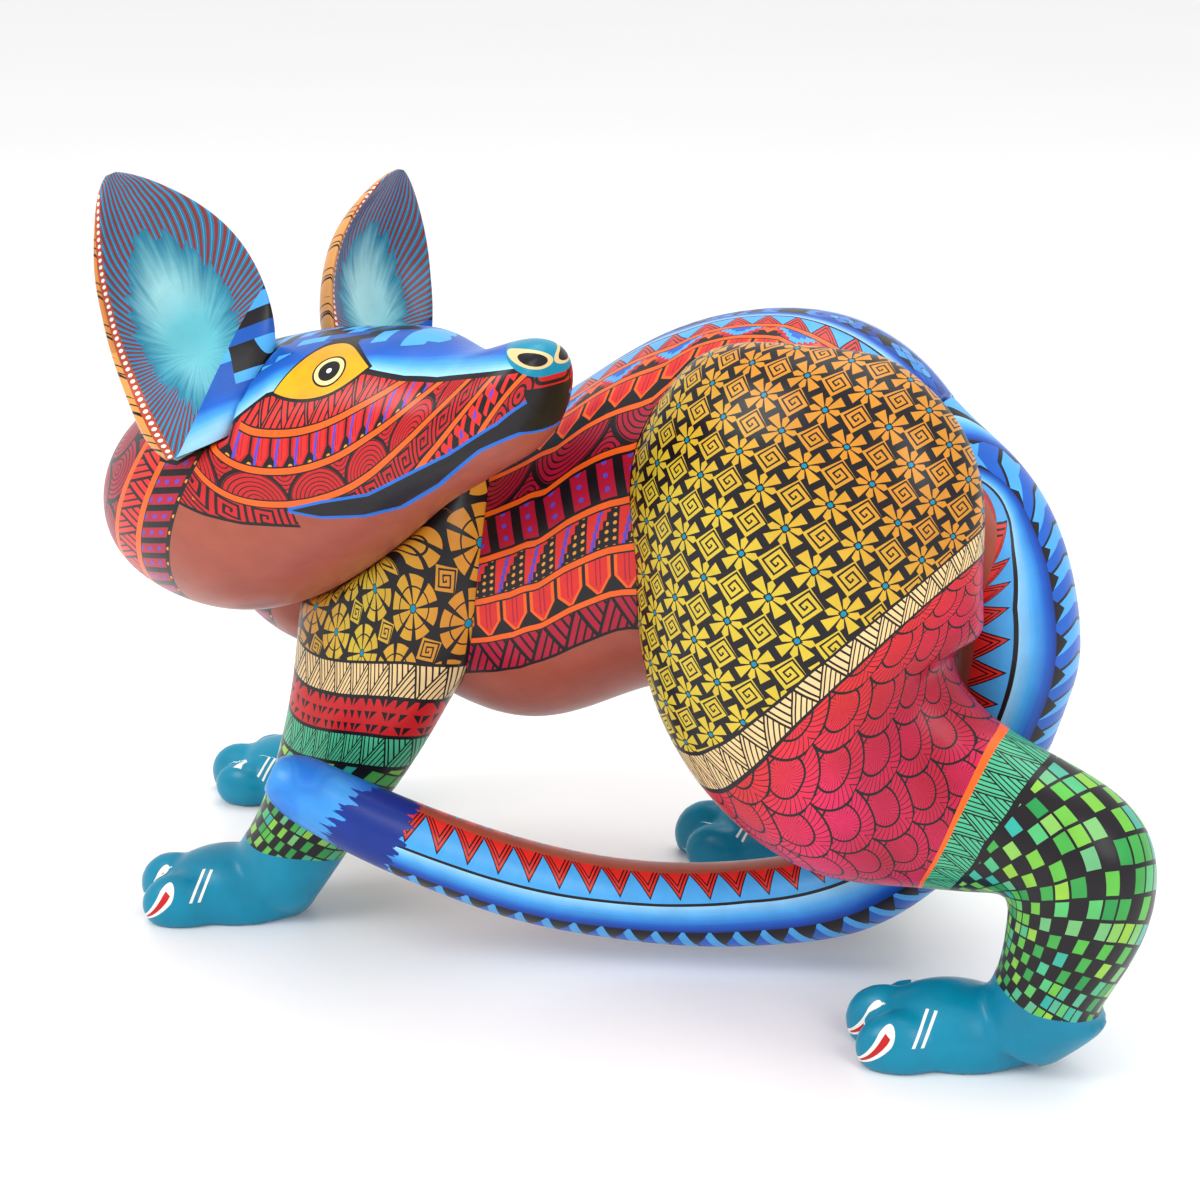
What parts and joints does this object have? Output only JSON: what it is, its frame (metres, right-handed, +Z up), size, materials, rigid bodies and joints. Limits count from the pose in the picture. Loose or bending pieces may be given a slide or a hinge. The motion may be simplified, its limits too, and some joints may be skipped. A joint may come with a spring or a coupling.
{
  "type": "carved painted animal figure",
  "caption": "Carved and painted wooden animal figure, crouching with its head turned back, ears and tail seated on loose pegs.",
  "frame": {"origin": "on the ground, under the middle of the figure's bounding box", "axes": "+Z up, -X the way the body faces, -Y the animal's left side, to which the head is turned"},
  "size_m": [0.35, 0.184, 0.2375],
  "materials": {
    "trunk_paint": "hand-painted acrylic over sanded wood, satin",
    "head_paint": "hand-painted acrylic over sanded wood, satin",
    "ear_paint": "hand-painted acrylic over sanded wood, satin",
    "tail_paint": "hand-painted acrylic over sanded wood, satin",
    "leg_paint": "hand-painted acrylic over sanded wood, satin",
    "peg_wood": "bare turned hardwood",
    "nail_steel": "bright wire nail"
  },
  "bodies": {
    "carving": {"trunk": "trunk_paint", "head": "head_paint", "left_front_leg": "leg_paint", "right_front_leg": "leg_paint", "left_hind_leg": "leg_paint", "right_hind_leg": "leg_paint", "neck_dowel": "peg_wood", "left_front_dowel": "peg_wood", "right_front_dowel": "peg_wood", "left_hind_dowel": "peg_wood", "right_hind_dowel": "peg_wood", "leg_nails": "nail_steel"},
    "left_ear": {"left_ear": "ear_paint", "left_ear_peg": "peg_wood"},
    "right_ear": {"right_ear": "ear_paint", "right_ear_peg": "peg_wood"},
    "tail": {"tail": "tail_paint", "tail_peg": "peg_wood"}
  },
  "joints": [
    {"name": "left_ear_lift", "type": "slide", "parent": "carving", "child": "left_ear", "axis": [-0.0503, 0.3219, 0.9455], "range_m": [0, 0.03]},
    {"name": "right_ear_lift", "type": "slide", "parent": "carving", "child": "right_ear", "axis": [-0.3712, -0.1003, 0.9231], "range_m": [0, 0.03]},
    {"name": "tail_pull", "type": "slide", "parent": "carving", "child": "tail", "axis": [1, 0, 0], "range_m": [0, 0.026]}
  ]
}
